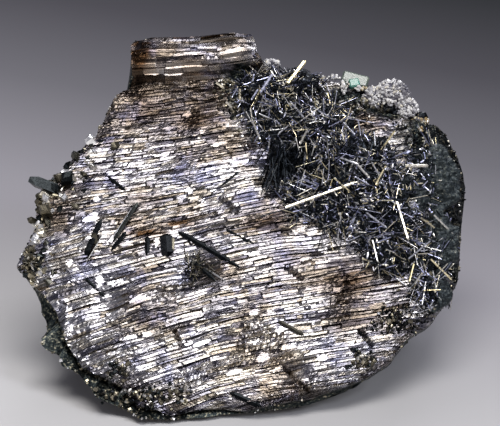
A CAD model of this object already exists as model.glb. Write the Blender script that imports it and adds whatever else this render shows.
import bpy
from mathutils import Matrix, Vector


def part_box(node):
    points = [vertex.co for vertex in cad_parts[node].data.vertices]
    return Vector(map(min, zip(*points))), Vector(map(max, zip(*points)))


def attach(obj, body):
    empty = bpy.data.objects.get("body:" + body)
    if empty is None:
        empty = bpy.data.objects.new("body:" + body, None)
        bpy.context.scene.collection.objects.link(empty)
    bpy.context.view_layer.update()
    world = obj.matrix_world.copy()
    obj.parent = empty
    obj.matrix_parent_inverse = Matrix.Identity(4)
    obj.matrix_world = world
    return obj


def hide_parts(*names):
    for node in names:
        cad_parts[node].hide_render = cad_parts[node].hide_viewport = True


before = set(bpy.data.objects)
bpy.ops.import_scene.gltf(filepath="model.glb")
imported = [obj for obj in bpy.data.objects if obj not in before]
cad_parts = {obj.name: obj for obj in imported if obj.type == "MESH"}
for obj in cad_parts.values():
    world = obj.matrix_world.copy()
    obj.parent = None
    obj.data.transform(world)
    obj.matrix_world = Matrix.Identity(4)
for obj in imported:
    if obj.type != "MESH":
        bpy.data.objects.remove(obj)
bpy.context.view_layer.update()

# %% [markdown]
# # An andorite specimen
# Andorite is a lead, silver and antimony sulfosalt. It grows as stacks of thin plates, so a broad
# face of it is covered with fine, nearly parallel striations, and each plate's edge flashes as
# the light catches it. This one also carries a felt of needles and crusts of small crystals.
# The look comes from real small facets under a soft light, more than from any painted pattern.

# %% Imports and units
import math

import bpy
import numpy as np
from mathutils import Quaternion, Vector

MM = 0.001
MM_IN_CM = 0.1
TURN = 6.28
BODY = "root"

for node_name in sorted(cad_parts):
    low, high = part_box(node_name)
    print(node_name, "spans", [round((b - a) / MM, 1) for a, b in zip(low, high)], "mm")

# %% [markdown]
# The solids were laid out in the face's own coordinates, in millimetres: across it, up its slope
# from the foot, and height square to it. The same few numbers are repeated here, so that every
# crystal can be set down by where it sits on the face. A striation row has one number all along
# its length, though the rows slope a little and flatten to the right.

# %% Coordinates of the face
FACE_LEAN = math.radians(40.0)
FACE_FOOT = (0.531, -15.179)
ROW_SLOPE = 0.21
ROW_BEND = 0.00125
FAN_ROW = 16.5
FAN = 0.0007


def fan(across):
    """How much further apart the rows are than in the middle: they spread towards the left."""
    return 1 + FAN * np.minimum(across, 0.0) ** 2


def row_of(across, up):
    """Number of the striation row through a place."""
    return FAN_ROW + (up - ROW_SLOPE * across + ROW_BEND * across * across - FAN_ROW) / fan(across)


def up_of(across, row):
    """How far up the face a row lies."""
    return FAN_ROW + (row - FAN_ROW) * fan(across) + ROW_SLOPE * across - ROW_BEND * across * across


def way(across, up, height):
    """A direction on the face as world numbers, or many at once."""
    across, up, height = np.broadcast_arrays(across, up, height)
    cos, sin = math.cos(FACE_LEAN), math.sin(FACE_LEAN)
    return np.stack((across, up * cos - height * sin, up * sin + height * cos), axis=-1)


def on_face(across, up, height=0.0):
    """World places, in metres, of places on the face."""
    return (way(across, up, height) + np.array((*FACE_FOOT, 0.0))) * MM


def field(places, size, seed):
    """Random lumps, about -1 to 1 high and about size wide, at many (x, y, z) places."""
    table = np.random.default_rng(seed).uniform(-1, 1, (32, 32, 32))
    at = np.asarray(places, float) / size
    cell = np.floor(at).astype(int)
    part = at - cell
    part = part * part * (3 - 2 * part)
    total = 0.0
    for corner in np.ndindex(2, 2, 2):
        index = (cell + corner) & 31
        weight = np.prod(np.where(corner, part, 1 - part), axis=-1)
        total = total + weight * table[index[..., 0], index[..., 1], index[..., 2]]
    return total


def rough_field(places, size, seed):
    """Random lumps with smaller ones on them."""
    return sum(field(places, size / 2.1 ** i, seed + i) / 2 ** i for i in range(3))


print("foot of the face", on_face(0, 0).round(4), "top", on_face(0, 37).round(4))

# %% [markdown]
# The smooth form under the striations is a low dome that rounds off at the right, with a rod-like
# ridge along the top left and a few hollows. The ridge is half a circle across the rows.

# %% The smooth form of the face
DOME_HEIGHT = 1.8
SHOULDER_START, SHOULDER_DROP = 13.5, 0.10
KNOB_ROW, KNOB_RADIUS, KNOB_RISE = 35.2, 2.1, 2.1
KNOB_ACROSS = (-11.8, 1.0)
# (across, up, radius, depth), in mm
PITS = ((-4.6, 13.2, 1.5, 0.9), (-12.4, 10.4, 1.3, 0.3), (4.0, 3.6, 1.2, 0.6), (3.4, 23.4, 2.2, 1.2))


def relief(across, up):
    """Height of the smooth face above its own plane."""
    across, up = np.asarray(across, float), np.asarray(up, float)
    height = DOME_HEIGHT * (1 - (across / 20.5) ** 2) * (1 - ((up - 17) / 21) ** 2)
    height = height - SHOULDER_DROP * np.maximum(0, across - SHOULDER_START) ** 2
    beside = (row_of(across, up) - KNOB_ROW) / KNOB_RADIUS
    on_knob = (np.abs(beside) < 1) & (across > KNOB_ACROSS[0]) & (across < KNOB_ACROSS[1])
    height = height + np.where(on_knob, KNOB_RISE * np.sqrt(np.clip(1 - beside ** 2, 0, 1)), 0)
    for pit_across, pit_up, radius, depth in PITS:
        away = np.hypot(across - pit_across, up - pit_up) / radius
        height = height - depth * np.exp(-away ** 2)
    return height


print("height in the middle", float(relief(0, 17)), "on the knob", float(relief(-5, 34.5)))

# %% [markdown]
# The rim of the face is the solid's own outline: two chains of (across, up) places from the
# lowest point upwards. A row of the face runs from one chain to the other.

# %% The rim of the face
LEFT_RIM = (
    (1.2, 0.5), (-2.2, 0.9), (-6.7, 0.5), (-9.6, 1.1), (-11.1, 3.1), (-13.0, 3.9), (-14.5, 4.7),
    (-16.0, 7.1), (-16.9, 10.1), (-19.0, 12.4), (-20.6, 14.4), (-18.9, 18.2), (-18.9, 20.8),
    (-17.3, 22.8), (-15.9, 24.3), (-13.8, 26.6), (-12.4, 30.2), (-10.6, 32.0), (-10.8, 35.4),
    (-9.1, 36.3))
RIGHT_RIM = (
    (1.6, 0.5), (5.5, 2.0), (8.5, 3.0), (10.4, 4.0), (12.2, 5.2), (13.4, 7.0), (15.7, 9.0),
    (17.2, 11.3), (18.4, 13.7), (18.7, 16.4), (19.0, 19.6), (19.5, 23.5), (18.9, 26.0),
    (17.5, 27.9), (15.7, 28.5), (12.6, 28.9), (11.0, 29.7), (8.6, 31.9), (3.0, 32.8),
    (0.8, 34.0), (0.1, 36.5), (-2.6, 36.9), (-8.7, 36.4))


def rim_rows(rim):
    """The rim as (row, across) columns whose rows always rise."""
    pairs = []
    for across, up in rim:
        row = row_of(across, up)
        if not pairs or row > pairs[-1][0]:
            pairs.append((row, across))
    return np.array(pairs).T


left_rim, right_rim = rim_rows(LEFT_RIM), rim_rows(RIGHT_RIM)
print("rows", left_rim[0].min().round(2), "to", right_rim[0].max().round(2))

# %% [markdown]
# Now the plates. Each strip between two rows is one layer of the stack, a quarter of a millimetre
# or so wide, broken along its length into plates that stand a little higher or lower and tilt a
# little differently. The tilt decides which plates flash. A few broader plates lie across
# several strips.

# %% Strips and plates
FOOT_ROW = 0.75
TOP_ROW = KNOB_ROW + KNOB_RADIUS * math.cos(math.pi / 16)
STRIP_WIDTHS = (0.19, 0.40)
STRIP_LINES = (0.0, 0.62, 0.81)
STRIP_MIDDLE = 0.31
GROOVE_DEPTHS = (0.0, 0.10)
BROAD_ROWS, SHORT_ROWS = 33.0, 24.0
COLUMNS = 172
PLATE_LENGTHS = (0.3, 4.4)
PLATE_LEVEL = 0.04
PLATE_TILT = math.radians(7.0)
PLATE_SWING = math.radians(2.2)
SWING_REACH = 1.2
LEAN_BACK, LEAN_SWAY = math.radians(6.0), math.radians(5.0)
TERRACE_KEPT, TERRACE_STEP = 0.75, 0.035
CALM, SHORTER = 0.62, 0.6
BROAD_PLATES = 130
COLUMN_JITTER = 0.36
WAVER = 0.16


def lay_strips(dice):
    """Rows of the grid, each with its strip and its place in it, and the middles of the strips."""
    rows, strips, parts, middles, widths = [], [], [], [], []
    edge = FOOT_ROW
    while edge < TOP_ROW:
        width = STRIP_WIDTHS[0] + (STRIP_WIDTHS[1] - STRIP_WIDTHS[0]) * dice.random() ** 2.0
        width *= 2.0 if edge > BROAD_ROWS else 1.0
        width = min(width, TOP_ROW - edge + 0.05)
        for part in STRIP_LINES:
            rows.append(edge + part * width)
            strips.append(len(middles))
            parts.append(part)
        middles.append(edge + width * STRIP_MIDDLE)
        widths.append(width)
        edge += width
    return np.array(rows), np.array(strips), np.array(parts), np.array(middles), np.array(widths)


dice = np.random.default_rng(12)
rows, strips, parts, middles, widths = lay_strips(dice)
low_end = np.interp(rows, *left_rim)
high_end = np.interp(rows, *right_rim)
share = np.linspace(0, 1, COLUMNS + 1)[None, :].repeat(len(middles), axis=0)
share[:, 1:-1] += dice.uniform(-COLUMN_JITTER, COLUMN_JITTER, (len(middles), COLUMNS - 1)) / COLUMNS
across_grid = low_end[:, None] + (high_end - low_end)[:, None] * share[strips]
row_grid = np.repeat(rows[:, None], COLUMNS + 1, axis=1)
sheet_places = np.stack((across_grid, row_grid, 0 * row_grid), axis=-1)
waver = WAVER * field(sheet_places * (0.45, 1, 1), 1.3, 70) * np.clip((row_grid - FOOT_ROW) / 1.5, 0, 1)
up_grid = up_of(across_grid, row_grid + waver * np.clip((TOP_ROW - row_grid) / 1.5, 0, 1))
print(len(middles), "strips,", len(rows), "rows")

# %% [markdown]
# A rocky state takes over from the plates where the felt and the crusts sit, and the face is
# crumbly along its rim and in patches. Both are numbers from 0 to 1, one for each vertex.

# %% Rocky and crumbly places
CRUST_EDGE = ((8, 12, 16, 20, 24, 27, 30), (17.5, 17.0, 16.2, 15.4, 13.8, 12.2, 15.0))
# (across, up, half length, half breadth), in mm
CRUST_PATCHES = ((8.4, 30.6, 2.2, 0.8), (12.2, 28.9, 1.5, 0.8), (-0.6, 32.4, 1.9, 0.7))
RIM_BAND, CRUST_BLEND = 1.8, 1.6

rim_gap = np.minimum(across_grid - low_end[:, None], high_end[:, None] - across_grid)
rim_gap = np.minimum(rim_gap, row_grid - FOOT_ROW) + 0.9 * field(sheet_places, 2.0, 69)
near_rim = np.clip(1 - rim_gap / RIM_BAND, 0, 1)
crust = (across_grid - np.interp(up_grid, *CRUST_EDGE)) / CRUST_BLEND + 0.5 * field(sheet_places, 1.6, 71)
crust = np.clip(crust, 0, 1)
for patch_across, patch_up, length, breadth in CRUST_PATCHES:
    away = ((across_grid - patch_across) / length) ** 2 + ((up_grid - patch_up) / breadth) ** 2
    crust = np.maximum(crust, np.clip(1.6 - away + 0.8 * field(sheet_places, 0.9, 72), 0, 1))
crumbs = np.clip(2.2 * field(sheet_places, 2.6, 73) - 0.9, 0.08, 1)
crumbs = np.maximum(crumbs, 0.8 * near_rim) * np.where(row_grid > BROAD_ROWS, 0.3, 1.0)
print("rocky share", crust.mean().round(2), "crumbly share", crumbs.mean().round(2))

# %% [markdown]
# Each plate's level and tilt are drawn at random, plate by plate along each strip. On the upper
# part of the face the plates are shorter and lie calmer.

# %% Levels and tilts of the plates
lean_field = field(sheet_places * (0.5, 1, 1), 3.0, 74)
level_grid = np.zeros_like(across_grid)
plate_grid = np.zeros_like(across_grid)
terrace = 0.0
for strip, middle in enumerate(middles):
    mine = np.where(strips == strip)[0]
    terrace = TERRACE_KEPT * terrace + dice.normal(0, TERRACE_STEP)
    calm = CALM if middle > SHORT_ROWS else 1.0
    places = across_grid[mine[0]]
    start = places[0]
    while start < places[-1]:
        length = PLATE_LENGTHS[0] + (PLATE_LENGTHS[1] - PLATE_LENGTHS[0]) * dice.random() ** 2
        length *= SHORTER if SHORT_ROWS < middle < BROAD_ROWS else 1.0
        inside = np.where((places >= start - 0.001) & (places < start + length))[0]
        tilt, swing = dice.normal(-LEAN_BACK, PLATE_TILT * calm), dice.normal(0, PLATE_SWING)
        level, depth = terrace + dice.normal(0, PLATE_LEVEL), dice.uniform(*GROOVE_DEPTHS) * calm
        tint = dice.random()
        for line in mine:
            reach = places[inside] - start - length / 2
            slope = np.tan(tilt + LEAN_SWAY * lean_field[line, inside])
            groove = depth if parts[line] == STRIP_LINES[-1] else 0.0
            level_grid[line, inside] = (level + slope * (rows[line] - middle) - groove
                                        + math.tan(swing) * np.clip(reach, -SWING_REACH, SWING_REACH))
            plate_grid[line, inside] = tint
        start += length

for _ in range(BROAD_PLATES):
    place, row = dice.uniform(-18, 17), dice.uniform(1.5, 30)
    length, breadth = dice.uniform(0.25, 0.9), dice.uniform(0.14, 0.32)
    inside = np.abs(across_grid - place + (row_grid - row) * 0.4) < length
    inside &= np.abs(row_grid - row) < breadth
    tilt, swing = dice.normal(-LEAN_BACK, PLATE_TILT * 0.6), dice.normal(0, PLATE_SWING)
    flat = dice.normal(0.04, 0.05) + math.tan(tilt) * (row_grid - row)
    flat += math.tan(swing) * (across_grid - place)
    level_grid[inside] = flat[inside]
    plate_grid[inside] = dice.random()
print("plates lie up to", level_grid.max().round(2), "mm above their strips")

# %% [markdown]
# The brightest plates are placed by hand. They are level with each other, so the large soft light
# shines in all of them.

# %% Bright plates
BRIGHT_TILT = math.radians(4.5)
BRIGHT_LEVEL, RAGGED = 0.05, 0.35
# (across, up, half length, half breadth), in mm
BRIGHT_PLATES = (
    (-14.0, 18.5, 0.75, 0.42), (-14.1, 17.4, 0.55, 0.22), (-18.0, 15.4, 0.5, 0.22),
    (-15.8, 14.2, 0.35, 0.35), (-13.1, 12.4, 0.4, 0.5), (-5.3, 21.0, 0.35, 0.35),
    (-13.5, 20.2, 0.45, 0.3), (-8.15, 15.9, 0.36, 0.55), (-12.0, 16.3, 0.3, 0.4),
    (-1.4, 4.0, 0.8, 0.3), (1.2, 5.4, 0.6, 0.45), (2.6, 7.6, 0.5, 0.5),
    (-4.2, 6.6, 0.7, 0.3), (6.2, 5.2, 0.5, 0.35), (0.4, 9.2, 0.5, 0.3),
    (4.8, 14.2, 0.5, 0.25), (-10.4, 7.2, 0.7, 0.25), (-3.0, 25.2, 0.9, 0.25),
    (-7.4, 27.0, 0.5, 0.2), (7.6, 11.6, 0.5, 0.3), (-1.5, 34.2, 2.1, 0.30),
    (-3.9, 34.5, 1.1, 0.18), (-5.9, 32.7, 1.9, 0.20), (-8.9, 32.3, 0.8, 0.16),
    (-3.6, 33.5, 1.0, 0.13), (-6.9, 32.3, 1.0, 0.12), (-7.8, 24.4, 0.8, 0.2),
    (-11.2, 27.6, 0.5, 0.25), (-2.4, 22.6, 1.0, 0.2), (-0.8, 23.6, 0.9, 0.25),
    (-5.6, 28.4, 0.5, 0.2), (-9.6, 29.8, 0.4, 0.2), (-1.8, 27.2, 0.7, 0.25),
    (-12.4, 22.8, 0.5, 0.2), (0.2, 6.6, 0.8, 0.22), (3.4, 6.2, 0.7, 0.22),
    (2.2, 4.2, 0.6, 0.2), (-2.6, 5.2, 0.8, 0.2), (-11.6, 12.4, 0.8, 0.2),
    (-12.6, 11.2, 0.5, 0.22), (-9.8, 10.6, 0.7, 0.18), (4.4, 3.4, 0.7, 0.2))
smooth_form = relief(across_grid, up_grid)
for place, up, length, breadth in BRIGHT_PLATES:
    row = row_of(place, up)
    ragged = RAGGED * field(sheet_places, 0.5, 80)
    inside = np.hypot((across_grid - place) / length, (row_grid - row) / breadth) + ragged < 1
    flat = BRIGHT_LEVEL - math.tan(BRIGHT_TILT) * (row_grid - row) + float(relief(place, up)) - smooth_form
    level_grid[inside] = flat[inside]
    plate_grid[inside], crumbs[inside] = 0.5, 0.03
print(len(BRIGHT_PLATES), "bright plates")

# %% [markdown]
# The heights add up: the smooth form, the plates and crumbs, slow swells over the whole face, and
# a fall towards the broken rim.

# %% Heights of the face
level_grid += crumbs * dice.uniform(-0.09, 0.09, level_grid.shape)
level_grid *= 1 - 0.75 * crust
level_grid += crust * (0.28 * rough_field(sheet_places, 1.3, 75) + dice.uniform(-0.04, 0.04, crust.shape))
swell = 0.22 * field(sheet_places, 5.0, 76) + 0.07 * field(sheet_places, 1.4, 77)
fall = near_rim ** 2 * (0.30 + 0.45 * field(sheet_places, 0.8, 78))
height_grid = smooth_form + level_grid + swell - fall
print("plates stand out by", level_grid.std().round(3), "mm")

# %% [markdown]
# Some places on the real face are brighter or duller than the rest: it shines most low in the
# middle, and is dull and brown at the ridge's blunt end, along the lower left rim and on a few
# smooth plates. A tone map made of soft spots says where.

# %% Tone of the face
# (across, up, half length, half breadth, brighter or duller)
TONES = (
    (-0.9, 5.6, 6.0, 3.2, 0.40), (2.6, 17.4, 3.5, 2.0, -0.32), (9.6, 11.0, 6.0, 4.5, -0.34),
    (-8.8, 2.4, 4.0, 1.6, -0.34), (-10.0, 34.4, 1.1, 3.2, -0.60), (-6.4, 17.7, 1.2, 0.35, -0.55),
    (-9.5, 16.8, 1.6, 0.28, -0.60), (9.6, 28.2, 4.0, 1.8, -0.34), (-5.0, 36.2, 6.0, 0.6, -0.40),
    (-17.4, 21.5, 1.6, 3.0, -0.14), (-7.0, 28.0, 7.0, 4.5, -0.34), (-7.0, 18.0, 8.0, 4.5, -0.18))
tone_grid = 0.5 + 0.16 * field(sheet_places * (0.5, 1, 1), 2.2, 79)
for spot_across, spot_up, length, breadth, amount in TONES:
    away = ((across_grid - spot_across) / length) ** 2 + ((up_grid - spot_up) / breadth) ** 2
    tone_grid += amount * np.exp(-away)
tone_grid = np.clip(tone_grid, 0, 1)
print("tone from", tone_grid.min().round(2), "to", tone_grid.max().round(2))

# %% [markdown]
# Thin dark cracks cross the plates in a few places. Each is a straight groove, cut into the
# heights along a short line.

# %% Cracks across the plates
# (start, end, breadth, depth), in mm
CRACKS = (((2.9, 4.6), (5.2, 2.2), 0.14, 0.5), ((-2.6, 20.2), (-1.0, 18.6), 0.12, 0.35),
          ((-13.4, 16.8), (-14.2, 15.0), 0.14, 0.5), ((9.5, 8.0), (10.6, 6.4), 0.12, 0.4),
          ((-6.5, 7.8), (-5.9, 6.2), 0.10, 0.35), ((3.2, 13.6), (4.6, 12.4), 0.12, 0.4))


def along_line(across, up, start, end):
    """Distance of each place from a line's start along it, as a share, and distance beside it."""
    line = np.subtract(end, start)
    reach = ((across - start[0]) * line[0] + (up - start[1]) * line[1]) / (line @ line)
    beside = np.hypot(across - start[0] - reach * line[0], up - start[1] - reach * line[1])
    return reach, beside


for start, end, breadth, depth in CRACKS:
    reach, beside = along_line(across_grid, up_grid, start, end)
    inside = (reach > 0) & (reach < 1)
    height_grid -= np.where(inside, depth * np.exp(-(beside / breadth) ** 2), 0)
print(len(CRACKS), "cracks, the lowest place at", height_grid.min().round(2), "mm")

# %% [markdown]
# The lump itself starts as a grid primitive with as many faces as the strips need. Its vertices
# are then set to the plates' places. The walls are made as by hand: the border is extruded ring
# by ring, and the last ring is filled for the flat underside. The grid's own numbering tells
# where each vertex goes.

# %% A grid becomes the striated face
def deselect():
    """Nothing selected and nothing in edit mode."""
    if bpy.context.object and bpy.context.object.mode == "EDIT":
        bpy.ops.object.mode_set(mode="OBJECT")
    bpy.ops.object.select_all(action="DESELECT")


deselect()
lines = len(rows)
bpy.ops.mesh.primitive_grid_add(x_subdivisions=COLUMNS, y_subdivisions=lines - 1, size=2)
ore = bpy.context.object
ore.name = "striated_ore"
flat = np.empty(len(ore.data.vertices) * 3)
ore.data.vertices.foreach_get("co", flat)
flat = flat.reshape(-1, 3)
column = np.rint((flat[:, 0] + 1) / 2 * COLUMNS).astype(int)
line = np.rint((flat[:, 1] + 1) / 2 * (lines - 1)).astype(int)
face_places = on_face(across_grid, up_grid, height_grid)
ore.data.vertices.foreach_set("co", face_places[line, column].ravel())
ore.data.update()
print("face of", len(ore.data.polygons), "small facets")

# %% [markdown]
# The walls follow the rim's outline, softened, down to a smaller flat foot. They bulge behind the
# face, swell on the left and flare at the lower left, where a dark lumpy band of wall shows in
# front. Rays from the middle of the lump keep the rings from crossing.

# %% The rings of the walls
CORE = (FACE_FOOT[0] - 0.26, FACE_FOOT[1] + 14.15)
FOOT_SHARE = (0.68, 0.90)
RIM_SOFTENING = math.radians(7.0)
RIM_IRONING, LIP_IRONING = 40, 2
CREST, SKIRT, LIP_DROP, WALL_LUMPS = 3.3, 2.4, 0.6, 0.55
SKIRT_FROM, SKIRT_BLEND = -0.27, 0.15
SWELL, SWELL_AT, SWELL_BREADTH = 1.6, -0.37, 0.11
ENDS_EARLY = 1.35
WALL_RINGS, FIRST_DEPTH = 16, 0.16
FOOT_GAP = 0.05


def ironed(loop, rounds):
    """A closed loop of places with its zigzag ironed out."""
    for _ in range(rounds):
        loop = (np.roll(loop, 1, axis=0) + loop * 2 + np.roll(loop, -1, axis=0)) / 4
    return loop


def wall_rings(rim):
    """Rings of places, in mm, from the rim of the face down to the flat underside."""
    down = way(0, 0, -1.0)
    calm = ironed(rim, RIM_IRONING)
    x, y = calm[:, 0] - CORE[0], calm[:, 1] - CORE[1]
    angle = np.maximum.accumulate(np.unwrap(np.arctan2(y, x)))
    distance, height = np.hypot(x, y), calm[:, 2]
    apart = (angle[:, None] - angle[None, :] + math.pi) % (2 * math.pi) - math.pi
    weight = np.exp(-(apart / RIM_SOFTENING) ** 2)
    weight /= weight.sum(axis=1, keepdims=True)
    distance, height = weight @ distance, weight @ height
    out = np.stack((np.cos(angle), np.sin(angle), np.zeros_like(angle)), axis=-1)
    foot = out * distance[:, None] * (*FOOT_SHARE, 1.0)
    start = out * distance[:, None] + np.stack((0 * height, 0 * height, height), axis=-1)
    lower_left = np.clip(-out[:, 0], 0, 1) * np.clip((SKIRT_FROM - out[:, 1]) / SKIRT_BLEND, 0, 1)
    left_swell = np.exp(-((out[:, 1] - SWELL_AT) / SWELL_BREADTH) ** 2) * (out[:, 0] < 0)
    lip = ironed(rim, LIP_IRONING)
    rings = [lip + down * np.minimum(LIP_DROP, lip[:, 2:] * 0.35) * part for part in (0.5, 1.0)]
    for number in range(1, WALL_RINGS + 1):
        depth = FIRST_DEPTH + (1 - FIRST_DEPTH) * number / WALL_RINGS
        sooner = min(1, depth * ENDS_EARLY)
        ring = start * (1 - depth) + foot * depth
        rough = WALL_LUMPS * np.maximum(np.minimum(1, height / 4), 1.5 * np.maximum(lower_left, left_swell))
        bulge = CREST * np.clip(out[:, 1], 0, 1) * math.sin(math.pi * depth ** 0.8)
        bulge += SKIRT * lower_left * math.sin(math.pi * sooner ** 0.7)
        bulge += SWELL * left_swell * math.sin(math.pi * sooner ** 0.45)
        knolls = 1.9 * np.abs(field(ring, 3.2, 81)) - 0.6 + 0.4 * rough_field(ring, 1.0, 83)
        scallops = np.maximum(lower_left, 0.8 * left_swell) * field(ring, 1.6, 85)
        bulge += (rough * knolls + 1.3 * scallops) * (1 - depth ** 6)
        lowest = height * (1 - depth * 0.5) - np.minimum(LIP_DROP, height * 0.4)
        ring[:, 2] = np.minimum(ring[:, 2] + rough * 0.5 * rough_field(ring, 1.6, 87), lowest)
        ring[:, 2] = np.maximum(ring[:, 2], FOOT_GAP + 0.1 * (1 - depth)) if number < WALL_RINGS else 0.0
        rings.append(ring + out * bulge[:, None] + (*CORE, 0.0))
    return rings


border = [(0, i) for i in range(COLUMNS + 1)] + [(j, COLUMNS) for j in range(1, lines)]
border += [(lines - 1, i) for i in range(COLUMNS - 1, -1, -1)] + [(j, 0) for j in range(lines - 2, 0, -1)]
place_of = {pair: number for number, pair in enumerate(border)}
rim_number = [place_of.get(pair, -1) for pair in zip(line.tolist(), column.tolist())]
rim_mark = ore.data.attributes.new("rim_number", "INT", "POINT")
rim_mark.data.foreach_set("value", np.array(rim_number, dtype=np.int32))
rim_places = face_places[tuple(np.array(border).T)] / MM
rings = wall_rings(rim_places)
print(len(rings), "rings of", len(border), "places")

# %% [markdown]
# In edit mode the grid's border is extruded once for each ring and then filled. Each new vertex
# keeps the rim number of the one it grew from, which says where on its ring it belongs.

# %% Extruding the walls
bpy.ops.object.mode_set(mode="EDIT")
bpy.ops.mesh.select_mode(type="EDGE")
bpy.ops.mesh.select_all(action="DESELECT")
bpy.ops.mesh.select_non_manifold(extend=False, use_wire=False, use_multi_face=False,
                                 use_non_contiguous=False, use_verts=False)
for _ in rings:
    bpy.ops.mesh.extrude_edges_move(TRANSFORM_OT_translate={"value": (0, 0, -0.1 * MM)})
bpy.ops.mesh.edge_face_add()
bpy.ops.object.mode_set(mode="OBJECT")

face_count = COLUMNS * (lines - 1)
total = len(ore.data.vertices)
numbers = np.empty(total, dtype=np.int32)
ore.data.attributes["rim_number"].data.foreach_get("value", numbers)
places = np.empty(total * 3)
ore.data.vertices.foreach_get("co", places)
places = places.reshape(-1, 3)
for number, ring in enumerate(rings):
    block = slice(len(flat) + number * len(border), len(flat) + (number + 1) * len(border))
    places[block] = ring[numbers[block]] * MM
ore.data.vertices.foreach_set("co", places.ravel())
ore.data.update()
bpy.ops.object.mode_set(mode="EDIT")
bpy.ops.mesh.select_all(action="SELECT")
bpy.ops.mesh.normals_make_consistent(inside=False)
bpy.ops.mesh.select_all(action="DESELECT")
bpy.ops.object.mode_set(mode="OBJECT")
print("ore of", len(ore.data.polygons), "faces with", len(rings), "rings of wall")

# %% [markdown]
# The material needs to know four things that a position alone doesn't tell: which plate a facet
# belongs to, how bright it is there, whether it is rock, and its place along and across the rows.
# Three face attributes and a UV map in centimetres carry them.

# %% Marks for the ore's material
def mark_faces(piece, name, values):
    """A number for each face, for the material to read."""
    mark = piece.data.attributes.new(name, "FLOAT", "FACE")
    mark.data.foreach_set("value", np.asarray(values, dtype=np.float32))


faces = len(ore.data.polygons)
first = np.minimum([polygon.vertices[0] for polygon in ore.data.polygons], len(flat) - 1)
is_face = np.arange(faces) < face_count
mark_faces(ore, "plate", np.where(is_face, plate_grid[line, column][first], 0.5))
mark_faces(ore, "tone", np.where(is_face, tone_grid[line, column][first], 0.5))
mark_faces(ore, "wall", np.where(is_face, crust[line, column][first], 1.0))
ore.data.attributes.remove(ore.data.attributes["rim_number"])

corner = np.empty(len(ore.data.loops), dtype=np.int32)
ore.data.loops.foreach_get("vertex_index", corner)
in_face = (places / MM - (*FACE_FOOT, 0.0)) @ np.stack((way(1, 0, 0), way(0, 1, 0), way(0, 0, 1)), axis=-1)
sheet = np.stack((in_face[:, 0], row_of(in_face[:, 0], in_face[:, 1])), axis=-1) * MM_IN_CM
for old in list(ore.data.uv_layers):
    ore.data.uv_layers.remove(old)
rows_map = ore.data.uv_layers.new(name="rows")
rows_map.data.foreach_set("uv", sheet[corner].ravel())
print("plates marked on", int(is_face.sum()), "faces")

# %% [markdown]
# Every material is a Principled shader with a few nodes before it. One helper adds a node with
# its settings and links; colours are written as sRGB hex and turned to linear.

# %% Helpers for materials
def colour(code):
    """An sRGB hex colour as linear numbers."""
    parts = [int(code[i:i + 2], 16) / 255 for i in (1, 3, 5)]
    return (*[p / 12.92 if p <= 0.04045 else ((p + 0.055) / 1.055) ** 2.4 for p in parts], 1.0)


def add(tree, kind, inputs=None, **settings):
    """A node of a kind, with its settings, and its inputs set or linked."""
    node = tree.nodes.new(kind)
    for name, value in settings.items():
        setattr(node, name, value)
    for name, value in (inputs or {}).items():
        if isinstance(value, bpy.types.NodeSocket):
            tree.links.new(value, node.inputs[name])
        else:
            node.inputs[name].default_value = value
    return node


def ramp(tree, source, *stops):
    """A colour ramp on a value, with (position, hex colour) stops."""
    node = add(tree, "ShaderNodeValToRGB", {"Fac": source})
    while len(node.color_ramp.elements) < len(stops):
        node.color_ramp.elements.new(0.5)
    for element, (position, code) in zip(node.color_ramp.elements, stops):
        element.position = position
        element.color = colour(code)
    return node.outputs["Color"]


def level(tree, source, low, high, bottom, top):
    """A value moved from one range to another, and kept inside it."""
    return add(tree, "ShaderNodeMapRange", {"Value": source, "From Min": low, "From Max": high,
                                            "To Min": bottom, "To Max": top}).outputs["Result"]


def mix(tree, factor, first, second, kind="MIX"):
    """Two colours mixed."""
    node = add(tree, "ShaderNodeMix", data_type="RGBA", blend_type=kind)
    for socket, value in ((node.inputs[0], factor), (node.inputs[6], first), (node.inputs[7], second)):
        if isinstance(value, bpy.types.NodeSocket):
            tree.links.new(value, socket)
        else:
            socket.default_value = value
    return node.outputs[2]


def start_material(name):
    """A new material, with its node tree and its shader."""
    material = bpy.data.materials.new(name)
    material.use_nodes = True
    tree = material.node_tree
    return material, tree, tree.nodes["Principled BSDF"]


def lumps_of(tree, vector, size_mm, detail=4.0):
    """Noise whose lumps are about size_mm across, on a vector in metres."""
    inputs = {"Vector": vector, "Scale": 1.0 / (size_mm * MM), "Detail": detail, "Roughness": 0.6}
    return add(tree, "ShaderNodeTexNoise", inputs).outputs["Fac"]


def mark_of(tree, name):
    """A number that the faces carry."""
    return add(tree, "ShaderNodeAttribute", attribute_name=name).outputs["Fac"]


def cover(tree, shader, body, rough, bumps, settings):
    """Link colour, roughness and bumps of (height, strength, depth in mm), and set other inputs."""
    tree.links.new(body, shader.inputs["Base Color"])
    tree.links.new(rough, shader.inputs["Roughness"])
    for height, strength, depth in bumps:
        bump = add(tree, "ShaderNodeBump", {"Height": height, "Strength": strength, "Distance": depth * MM})
        if shader.inputs["Normal"].is_linked:
            tree.links.new(shader.inputs["Normal"].links[0].from_socket, bump.inputs["Normal"])
        tree.links.new(bump.outputs["Normal"], shader.inputs["Normal"])
    for name, value in settings.items():
        shader.inputs[name].default_value = value


print("a mid grey is", round(colour("#808080")[0], 3), "in linear light")

# %% [markdown]
# Andorite is steel grey with a bright metallic lustre on fresh plates. In air it tarnishes bronze
# brown and bluish violet, plate by plate. So the colour comes from each plate's own number, with
# broad patches of tarnish over it, browner towards the top, and roughness goes with tarnish. Fine
# scratches along the rows, about 0.07 mm apart, break up each flash. The walls are duller and darker.

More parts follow.
